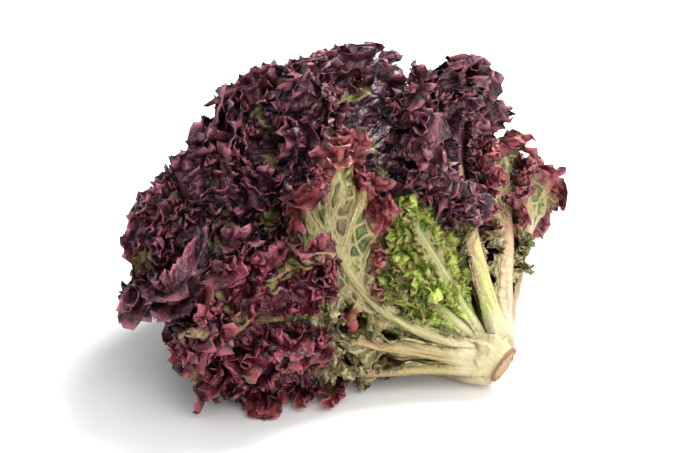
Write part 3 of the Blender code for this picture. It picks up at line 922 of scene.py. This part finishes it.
class Finish:
    """A material made of one Principled shader and the nodes that feed it."""

    def __init__(self, name, roughness, specular):
        self.material = bpy.data.materials.new(name)
        self.material.use_nodes = True
        self.tree = self.material.node_tree
        self.shader = self.tree.nodes["Principled BSDF"]
        self.shader.inputs["Roughness"].default_value = roughness
        self.shader.inputs["Specular IOR Level"].default_value = specular

    def node(self, kind, settings=None, sockets=None):
        """Adds a node: its settings first, then its sockets, each a value or a link."""
        node = self.tree.nodes.new(kind)
        for name, value in (settings or {}).items():
            setattr(node, name, value)
        for name, value in (sockets or {}).items():
            self.plug(node.inputs[name], value)
        return node

    def plug(self, target, value):
        """Links a socket or sets its value."""
        source = getattr(value, "socket", value)
        if isinstance(source, bpy.types.NodeSocket):
            self.tree.links.new(source, target)
        else:
            target.default_value = source

    def feed(self, name, value):
        """Links a value to the shader's socket of that name."""
        self.plug(self.shader.inputs[name], value)

    def attribute(self, name):
        """Vector attribute of the mesh as three numbers."""
        node = self.node("ShaderNodeAttribute", {"attribute_name": name})
        split = self.node("ShaderNodeSeparateXYZ", None, {"Vector": node.outputs["Vector"]})
        return [Number(self, split.outputs[axis]) for axis in "XYZ"]

    def position(self):
        """Object coordinates."""
        return self.node("ShaderNodeTexCoord").outputs["Object"]

    def noise(self, vector, size, detail):
        """Noise between 0 and 1 whose blobs are about this size in metres."""
        sockets = {"Vector": vector, "Scale": 1.0 / size, "Detail": detail}
        return Number(self, self.node("ShaderNodeTexNoise", None, sockets).outputs["Fac"])

    def cells(self, vector, size):
        """Distance to the edges of cells of about this size in metres."""
        settings = {"feature": "DISTANCE_TO_EDGE"}
        node = self.node("ShaderNodeTexVoronoi", settings, {"Vector": vector, "Scale": 1.0 / size})
        return Number(self, node.outputs["Distance"])

    def vector(self, x, y, z):
        """Vector from three numbers."""
        return self.node("ShaderNodeCombineXYZ", None, {"X": x, "Y": y, "Z": z}).outputs[0]

    def ease(self, value, low, high):
        """Smooth step from 0 at low to 1 at high."""
        sockets = {"Value": value, "From Min": low, "From Max": high}
        node = self.node("ShaderNodeMapRange", {"interpolation_type": "SMOOTHSTEP"}, sockets)
        return Number(self, node.outputs["Result"])

    def mix(self, share, first, second):
        """Colour between two colours, each a link or three numbers."""
        node = self.node("ShaderNodeMix", {"data_type": "RGBA"})
        self.plug(node.inputs[0], share)
        for place, tint in ((6, first), (7, second)):
            linked = isinstance(tint, bpy.types.NodeSocket)
            self.plug(node.inputs[place], tint if linked else opaque(tint))
        return node.outputs[2]

    def feed_bumps(self, *bumps):
        """Feeds the shader's normal with bumps on top of one another, each a height between 0
        and 1, the distance in metres that it stands for, and a strength."""
        normal = None
        for height, distance, strength in bumps:
            sockets = {"Height": height, "Distance": distance, "Strength": strength}
            node = self.node("ShaderNodeBump", None, sockets)
            if normal is not None:
                self.plug(node.inputs["Normal"], normal)
            normal = node.outputs[0]
        self.feed("Normal", normal)


def opaque(colour):
    """Colour with full alpha, for a colour socket."""
    return (colour[0], colour[1], colour[2], 1.0)


# Sizes in the leaves' finish: noises, pleats of the wings, the length over which those fade, and
# the side veins on each side of a leaf with the cells of the net between them.
BROAD_SIZE = 22.0 * MM
PATCH_SIZE = 5.0 * MM
FINE_SIZE = 1.5 * MM
WARM_SIZE = 13.0 * MM
SPOT_SIZE = 24.0 * MM
BUMP_SIZE = 2.6 * MM
PLEAT_LENGTH = 3.4 * MM
PLEAT_FADE = 22.0 * MM
SIDE_VEINS = 7.0
CELL_SIZE = 7.0 * MM


def leaf_patterns(f):
    """The values and noises that all parts of a leaf's finish share, by name."""
    at = SimpleNamespace()
    at.share, at.inward, at.seed = f.attribute("place")
    at.across, at.s, at.rib = f.attribute("flat")
    at.bare, at.height = f.attribute("state")[:2]
    at.where = f.position()
    at.broad = f.noise(at.where, BROAD_SIZE, 2.0)
    at.patch = f.noise(at.where, PATCH_SIZE, 3.0)
    at.fine = f.noise(at.where, FINE_SIZE, 3.0)
    at.streak = f.noise(f.vector(at.across * 900.0, at.s * 30.0, at.seed * 5.0), 1.0, 2.0)
    return at


def vein_masks(f, at):
    """Two masks of the blade beside its rib: 1 on the side veins and the fainter net between
    them, and 1 in the middle of each pocket. Side veins are peaks of a wave over the share of
    the margin, which rows of the blade follow from the midrib outward."""
    wave = ((at.share + 0.04 * at.broad) * (2.0 * pi * SIDE_VEINS)).sine()
    side_vein = f.ease(wave, 0.92, 0.995)
    inside = f.cells(f.vector(at.across, at.s, at.seed), CELL_SIZE)
    net = 1.0 - f.ease(inside, 0.02, 0.07)
    beside_rib = 1.0 - at.rib
    veins = side_vein.math("MAXIMUM", side_vein, 0.22 * net) * beside_rib
    pockets = (1.0 - f.ease(wave, -0.4, 0.9)) * f.ease(inside, 0.0, 0.26)
    return veins, pockets * beside_rib


def wing_masks(f, at, tone, fresh):
    """Mask of the wings beside the stalk, and of the crests of their pleats, which are a wave
    that slants away from the rib; the finish uses them for painted shade in the creases between
    pleats and a painted highlight on their crests, as well as for bumps."""
    fade = f.ease(at.s + 30 * MM * (at.broad - 0.5), tone["wing_to"] - PLEAT_FADE, tone["wing_to"])
    low = (1.0 - fade) * tone["winged"] * (1.0 - at.rib) * (1.0 - 0.7 * fresh)
    slant = at.across.math("ABSOLUTE", at.across) - 0.28 * at.s
    phase = slant * (2.0 * pi / PLEAT_LENGTH) + 9.0 * at.patch
    return low, f.ease(phase.sine(), -0.5, 0.9)


def blade_colour(f, at, tone, colours, veins, pockets):
    """Olive tan, green in the pockets, flushed with brownish pink, with pale veins."""
    green = f.ease(pockets + 0.5 * at.patch, 0.35, 0.95)
    blade = f.mix(green, colours.blade_light, colours.blade_dark)
    blade = f.mix(f.ease(at.broad + 0.4 * at.fine, 0.55, 0.90) * tone["flush"], blade, colours.flush)
    return f.mix(veins * (1.0 - f.ease(at.inward, 0.6, 0.95)) * 0.8, blade, colours.vein)


def frill_colour(f, at, tone):
    """Painted shade darkens the frills' hollows, also in random patches; livelier crests, warmer in
    patches, with painted highlights on the lit edges.
    """
    warm = f.ease(f.noise(at.where, WARM_SIZE, 2.0), 0.50, 0.66) * 0.5
    lively = f.mix(warm, tone["lively"], tone["warm"])
    # Painted shade: low on a fold or frill the colour goes to the dark hollow colour, mixed with
    # random patches.
    crest_lit = f.ease(0.42 * at.patch + 0.58 * at.height, 0.35, 0.66)
    frill = f.mix(crest_lit, tone["dark"], lively)
    frill = f.mix(f.ease(at.fine, 0.5, 0.75) * 0.5, frill, lively)
    # Painted highlight: the edge colour on the margins, strongest where they stand high on a crest.
    edge = f.ease(at.inward, 0.90, 1.0) * f.ease(at.patch + 0.5 * (at.height - 0.5), 0.35, 0.65)
    return f.mix(edge * tone["tipped"], frill, tone["edge"])


def stalk_colour(f, at, tone, colours, fresh):
    """Greenish low down and riper farther up, green all along on a fresh leaf, streaked, with painted
    shade in fine dark lines along it.
    """
    ripe = f.ease(at.s + 50 * MM * (at.patch - 0.5), 15 * MM, 70 * MM) * (1.0 - fresh)
    stalk = f.mix(ripe, tone["stalk_shade"], tone["stalk"])
    stalk = f.mix(fresh, stalk, colours.base_shade)
    stalk = f.mix(f.ease(at.streak, 0.42, 0.62) * 0.6, stalk, tone["streak"])
    # Painted shade: fine dark lines along the stalk in the crease colour, standing for the shade
    # between its flutes.
    return f.mix(f.ease(at.streak, 0.60, 0.72) * 0.5, stalk, colours.crease_shade)


def leaf_finish(name, tone, colours):
    """Cream rib that greens up the leaf, veined olive blade with painted shade and highlights on the
    wings' pleats, and dark frills with painted shade in their hollows and painted highlights on their
    edges. The leaf over the heart, whose own number is high among the rose ones, is fresher."""
    f = Finish(name, 0.45, 0.5)
    at = leaf_patterns(f)
    fresh = f.ease(at.seed, 3.0, 4.0) * tone["fresh"]
    veins, pockets = vein_masks(f, at)
    low, pleated = wing_masks(f, at, tone, fresh)
    blade = blade_colour(f, at, tone, colours, veins, pockets)
    # Painted shade in the creases between the wings' pleats, and a painted highlight in the pale vein
    # colour on their crests; the pleats are only bumps.
    blade = f.mix(low * (1.0 - pleated) * 0.75, blade, colours.crease_shade)
    blade = f.mix(low * pleated * 0.65, blade, colours.vein)

    spot = f.noise(at.where, SPOT_SIZE, 1.0) + 0.2 * (at.patch - 0.5)
    spot = f.ease(spot, 0.57, 0.67) * tone["spots"]
    reach = at.inward + (at.broad - 0.5) * 0.4 + (at.patch - 0.5) * 0.4
    reach = reach + (at.bare - 0.5) * tone["sun"] - low * 1.1 - spot
    colour = f.mix(f.ease(reach, tone["from"], tone["to"]), blade, frill_colour(f, at, tone))
    on_rib = at.rib * (1.0 - f.ease(at.s, tone["rib_from"], tone["rib_to"]))
    colour = f.mix(on_rib, colour, stalk_colour(f, at, tone, colours, fresh))
    pale = f.mix(f.ease(at.streak, 0.4, 0.65) * 0.45, colours.base, tone["stalk_shade"])
    pale_to = 3 * MM + 6 * MM * at.rib
    at_base = 1.0 - f.ease(at.s + 10 * MM * (at.broad - 0.5), pale_to, pale_to + 10 * MM)
    f.feed("Base Color", f.mix(at_base, colour, pale))
    f.feed("Roughness", 0.22 + 0.34 * at.fine)
    f.feed_bumps(
        (veins, 0.8 * MM, 0.7),
        (low * pleated, 1.2 * MM, 0.7),
        (pockets, 2.4 * MM, 0.8),
        (f.noise(at.where, BUMP_SIZE, 2.0), 1.6 * MM, 0.8),
        (at.fine, 0.6 * MM, 0.6),
        (at.streak, 1.0 * MM, 0.5),
    )
    return f.material


def stem_finish(name, colours):
    """Tan cut face with rings and a darker rim on a pale green stem."""
    f = Finish(name, 0.6, 0.35)
    along, radius, azimuth = f.attribute("place")
    where = f.position()
    patch = f.noise(where, 3.5 * MM, 3.0)
    fine = f.noise(where, 0.9 * MM, 3.0)
    rings = f.ease((radius * (2.0 * pi / RING_WIDTH) + 2.5 * patch).sine(), -0.4, 1.0)
    cut = f.mix(0.45 * rings + 0.3 * fine, colours.cut, colours.cut_dark)
    rim = f.ease(radius + 3.0 * MM * (patch - 0.5), RIM_FROM, RIM_TO)
    cut = f.mix(rim * 0.85, cut, colours.cut_dark)
    streak = f.noise(f.vector(azimuth * 9.0, along * 60.0, 0.0), 1.0, 2.0)
    side = f.mix(f.ease(streak, 0.35, 0.7) * 0.6, colours.base, colours.base_shade)
    beside_cut = f.ease(along + 1.0 * MM * (patch - 0.5), -3.8 * MM, -2.6 * MM)
    f.feed("Base Color", f.mix(beside_cut, cut, side))
    f.feed("Roughness", 0.5 + 0.25 * fine)
    f.feed_bumps((rings, 0.4 * MM, 0.5), (fine, 0.4 * MM, 0.6))
    return f.material


# Each finish's colours and reaches. dark is painted shade in the frills' hollows, also spread in
# random patches, lively and warm colour the frills' crests and patches, and edge is a painted
# highlight on their margins, as strong as tipped says. stalk, stalk_shade and streak colour the rib.
# winged is the strength of the pleated wings beside it, with their painted shade in the creases and
# painted highlight on the crests, and wing_to their upper end, fresh how green the fresh leaf's stalk
# is, spots the strength of the olive patches among the frills, flush that of the pink on the blade,
# and sun how much farther the frills' colour comes in where a leaf is open. That colour begins and is
# full at the shares from and to of the way from rib to margin, and the rib's colour fades between the
# distances rib_from and rib_to up the leaf.
TONE_NAMES = ("rose", "crimson", "purple", "green")
TONE_ROWS = {
    # dark is painted shade in the frills' hollows.
    "dark": ((0.045, 0.009, 0.014), (0.016, 0.003, 0.007), (0.008, 0.003, 0.008), (0.14, 0.19, 0.03)),
    "lively": ((0.25, 0.034, 0.048), (0.15, 0.016, 0.034), (0.105, 0.026, 0.045), (0.53, 0.66, 0.12)),
    "warm": ((0.36, 0.13, 0.06), (0.24, 0.075, 0.035), (0.15, 0.055, 0.045), (0.42, 0.36, 0.10)),
    # edge is a painted highlight on the frills' margins, as strong as tipped says.
    "edge": ((0.46, 0.13, 0.14), (0.38, 0.08, 0.11), (0.38, 0.11, 0.15), (0.24, 0.10, 0.05)),
    "tipped": (0.6, 0.7, 0.7, 0.85),
    "stalk": ((0.49, 0.30, 0.18), (0.40, 0.28, 0.13), (0.50, 0.31, 0.17), (0.50, 0.50, 0.22)),
    "stalk_shade": ((0.52, 0.40, 0.25), (0.38, 0.32, 0.12), (0.46, 0.52, 0.15), (0.42, 0.48, 0.16)),
    "streak": ((0.30, 0.17, 0.10), (0.22, 0.14, 0.055), (0.30, 0.17, 0.08), (0.30, 0.33, 0.09)),
    "winged": (1.0, 1.0, 1.0, 0.0),
    "wing_to": (74.0 * MM, 96.0 * MM, 74.0 * MM, 40.0 * MM),
    "fresh": (0.8, 0.0, 0.0, 0.0),
    "spots": (0.15, 1.0, 0.85, 0.0),
    "flush": (0.5, 0.6, 0.7, 0.3),
    "sun": (0.15, 0.3, 0.3, 0.1),
    "from": (0.56, 0.10, -0.12, 0.35),
    "to": (0.88, 0.34, 0.12, 0.70),
    "rib_from": (95.0 * MM, 70.0 * MM, 72.0 * MM, 40.0 * MM),
    "rib_to": (170.0 * MM, 105.0 * MM, 100.0 * MM, 90.0 * MM),
}
TONES = {
    name: {key: row[column] for key, row in TONE_ROWS.items()}
    for column, name in enumerate(TONE_NAMES)
}


def size(name, description, default):
    """Length setting in metres."""
    return bpy.props.FloatProperty(
        name=name, description=description, default=default, unit="LENGTH", precision=5
    )


def colour(name, description, default):
    """Colour setting."""
    return bpy.props.FloatVectorProperty(
        name=name, description=description, default=default, subtype="COLOR", size=3, min=0.0, max=1.0
    )


class LettuceSizes(bpy.types.PropertyGroup):
    """Sizes of the frills, ribs and blades."""

    fold_depth: size("Fold depth", "Half height of a leaf's broad folds", 9.0 * MM)
    fold_length: size("Fold length", "Distance from fold to fold along the margin", 22.0 * MM)
    flounce_height: size("Flounce height", "How far the ruffled lobes stand off the blade", 8.5 * MM)
    frill_depth: size("Frill depth", "Half height of the frills", 2.2 * MM)
    frill_length: size("Frill length", "Distance from frill to frill", 4.6 * MM)
    crinkle_depth: size("Crinkle depth", "Half height of the margin's crinkles", 1.1 * MM)
    crinkle_length: size("Crinkle length", "Distance from crinkle to crinkle", 2.3 * MM)
    tooth_depth: size("Tooth depth", "How far the margin's teeth stand out", 1.7 * MM)
    tooth_length: size("Tooth length", "Distance from tooth to tooth", 2.5 * MM)
    blister_depth: size("Blister depth", "Half height of the bumps between veins", 1.3 * MM)
    blade_thickness: size("Blade thickness", "Thickness of a blade", 0.5 * MM)
    rib_width: size("Rib width", "Half width of a large leaf's midrib at its base", 3.9 * MM)
    rib_height: size("Rib height", "Thickness of a large leaf's midrib at its base", 5.0 * MM)
    proud: bpy.props.FloatProperty(
        name="Proud",
        description="Share of each side by which frills may stand out of the solids",
        default=0.012,
    )


class LettuceColours(bpy.types.PropertyGroup):
    """Colours shared by all leaves."""

    base: colour("Base", "Creamy white where leaves join the stem", (0.53, 0.45, 0.28))
    base_shade: colour("Base shade", "Pale green streaks there", (0.38, 0.39, 0.14))
    vein: colour("Vein", "Pale side veins", (0.48, 0.40, 0.20))
    # Painted shade: dark colour put in the creases of the wings' pleats and in fine lines along the
    # stalks.
    crease_shade: colour("Crease", "Dark creases of the wings along the stalks", (0.13, 0.10, 0.035))
    blade_light: colour("Blade light", "Olive tan of the blades", (0.34, 0.31, 0.12))
    blade_dark: colour("Blade dark", "Green of the pockets between veins", (0.06, 0.13, 0.018))
    flush: colour("Flush", "Brownish pink over the green", (0.27, 0.12, 0.08))
    cut: colour("Cut", "Tan cut face of the stem", (0.50, 0.32, 0.16))
    cut_dark: colour("Cut dark", "Brown rings and rim of the cut face", (0.17, 0.085, 0.035))
    floor: colour("Floor", "Pale floor", (0.93, 0.93, 0.93))


def leaf_material(tone, colours):
    """The finish of a tone, made once."""
    name = "leaf_" + tone
    found = bpy.data.materials.get(name + "_finish")
    return found or leaf_finish(name + "_finish", TONES[tone], colours)


class LETTUCE_OT_leaves(bpy.types.Operator):
    """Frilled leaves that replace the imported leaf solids"""

    bl_idname = "lettuce.leaves"
    bl_label = "Leaves"

    def execute(self, context):
        sizes = context.scene.lettuce_sizes
        colours = context.scene.lettuce_colours
        for leaf in LEAVES:
            count = SMALL_COLUMNS if leaf.length < SMALL_LENGTH else FINE_COLUMNS
            sheets = leaf_sheets(leaf, count, sizes)
            piece = add_sheets(leaf.name + "_frilled", sheets, leaf_material(leaf.tone, colours))
            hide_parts(leaf.name)
        return {"FINISHED"}


class LETTUCE_OT_heart(bpy.types.Operator):
    """Young leaves of the heart"""

    bl_idname = "lettuce.heart"
    bl_label = "Heart"

    def execute(self, context):
        sizes = context.scene.lettuce_sizes
        colours = context.scene.lettuce_colours
        sheets = []
        for leaf in HEART_LEAVES:
            sheets.extend(leaf_sheets(leaf, HEART_COLUMNS, sizes))
        piece = add_sheets("heart_frilled", sheets, leaf_material("green", colours))
        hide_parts("heart")
        return {"FINISHED"}


class LETTUCE_OT_stem(bpy.types.Operator):
    """Short stem with the collar of the leaf bases and the tan cut face"""

    bl_idname = "lettuce.stem"
    bl_label = "Stem"

    def execute(self, context):
        colours = context.scene.lettuce_colours
        piece = add_sheets("stem_cut", [stem_surface()], stem_finish("stem_finish", colours))
        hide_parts("stump")
        return {"FINISHED"}


# The photograph's frame and the place of the stem in it, in pixels, and its scale.
FRAME_WIDTH = 677
FRAME_HEIGHT = 453
STEM_X = 497
STEM_Y = 360
METRES_PER_PIXEL = 0.512 * MM
LENS = 70.0
SENSOR = 36.0

# Half side of the floor and the place that the lights face, in metres, and the world's strength.
FLOOR_HALF = 6.0
LIT_PLACE = (0.0, 0.0, 0.06)
WORLD_STRENGTH = 0.7


def add_camera():
    """Camera 20 degrees above the horizon, where the stem falls on its pixel."""
    right = np.array([1.0, 0.0, 0.0])
    up = np.array([0.0, np.sin(VIEW_TILT), np.cos(VIEW_TILT)])
    near = np.array([0.0, -np.cos(VIEW_TILT), np.sin(VIEW_TILT)])
    distance = FRAME_WIDTH * METRES_PER_PIXEL * LENS / SENSOR
    aside = (0.5 * FRAME_WIDTH - STEM_X) * METRES_PER_PIXEL
    above = (STEM_Y - 0.5 * FRAME_HEIGHT) * METRES_PER_PIXEL
    place = HEAD_ORIGIN + aside * right + above * up + distance * near
    data = bpy.data.cameras.new("camera")
    data.lens = LENS
    data.sensor_width = SENSOR
    camera = bpy.data.objects.new("camera", data)
    bpy.context.scene.collection.objects.link(camera)
    turn = Matrix([right, up, near]).transposed().to_4x4()
    camera.matrix_world = Matrix.Translation(Vector(place)) @ turn
    bpy.context.scene.camera = camera


def add_light(name, place, target, side, power):
    """Square soft light that faces its target."""
    data = bpy.data.lights.new(name, "AREA")
    data.size = side
    data.energy = power
    light = bpy.data.objects.new(name, data)
    bpy.context.scene.collection.objects.link(light)
    turn = (Vector(target) - Vector(place)).to_track_quat("-Z", "Y")
    light.matrix_world = Matrix.Translation(Vector(place)) @ turn.to_matrix().to_4x4()


class LETTUCE_OT_stage(bpy.types.Operator):
    """Pale floor, soft light and the camera of the photograph"""

    bl_idname = "lettuce.stage"
    bl_label = "Stage"

    def execute(self, context):
        colours = context.scene.lettuce_colours
        corners = ((-1.0, -1.0), (1.0, -1.0), (1.0, 1.0), (-1.0, 1.0))
        f = Finish("floor_finish", 0.9, 0.1)
        f.shader.inputs["Base Color"].default_value = opaque(colours.floor)
        mesh = bpy.data.meshes.new("floor")
        points = [(FLOOR_HALF * x, FLOOR_HALF * y, 0.0) for x, y in corners]
        mesh.from_pydata(points, [], [(0, 1, 2, 3)])
        mesh.materials.append(f.material)
        floor = bpy.data.objects.new("floor", mesh)
        context.scene.collection.objects.link(floor)
        add_camera()
        add_light("key", (0.45, 0.35, 0.95), LIT_PLACE, 0.6, 19.5)
        add_light("fill", (0.5, -1.0, 0.8), LIT_PLACE, 1.2, 15.0)
        world = bpy.data.worlds.new("studio")
        world.use_nodes = True
        back = world.node_tree.nodes["Background"]
        back.inputs["Color"].default_value = (1.0, 1.0, 1.0, 1.0)
        back.inputs["Strength"].default_value = WORLD_STRENGTH
        context.scene.world = world
        context.scene.view_settings.view_transform = "Standard"
        return {"FINISHED"}


class LETTUCE_PT_panel(bpy.types.Panel):
    """Pieces and settings of the lettuce"""

    bl_label = "Lettuce"
    bl_idname = "LETTUCE_PT_panel"
    bl_space_type = "VIEW_3D"
    bl_region_type = "UI"
    bl_category = "Lettuce"

    def draw(self, context):
        column = self.layout.column()
        for group in (context.scene.lettuce_sizes, context.scene.lettuce_colours):
            for name in group.__annotations__:
                column.prop(group, name)
        for operator in OPERATORS:
            column.operator(operator.bl_idname)


OPERATORS = (LETTUCE_OT_leaves, LETTUCE_OT_heart, LETTUCE_OT_stem, LETTUCE_OT_stage)
CLASSES = (LettuceSizes, LettuceColours) + OPERATORS + (LETTUCE_PT_panel,)


def register():
    """Adds the classes and the settings."""
    for item in CLASSES:
        bpy.utils.register_class(item)
    bpy.types.Scene.lettuce_sizes = bpy.props.PointerProperty(type=LettuceSizes)
    bpy.types.Scene.lettuce_colours = bpy.props.PointerProperty(type=LettuceColours)


def unregister():
    """Removes them again."""
    del bpy.types.Scene.lettuce_colours
    del bpy.types.Scene.lettuce_sizes
    for item in reversed(CLASSES):
        bpy.utils.unregister_class(item)


def main():
    """Builds every piece in order."""
    register()
    bpy.ops.lettuce.leaves()
    bpy.ops.lettuce.heart()
    bpy.ops.lettuce.stem()
    bpy.ops.lettuce.stage()


if __name__ == "__main__":
    main()
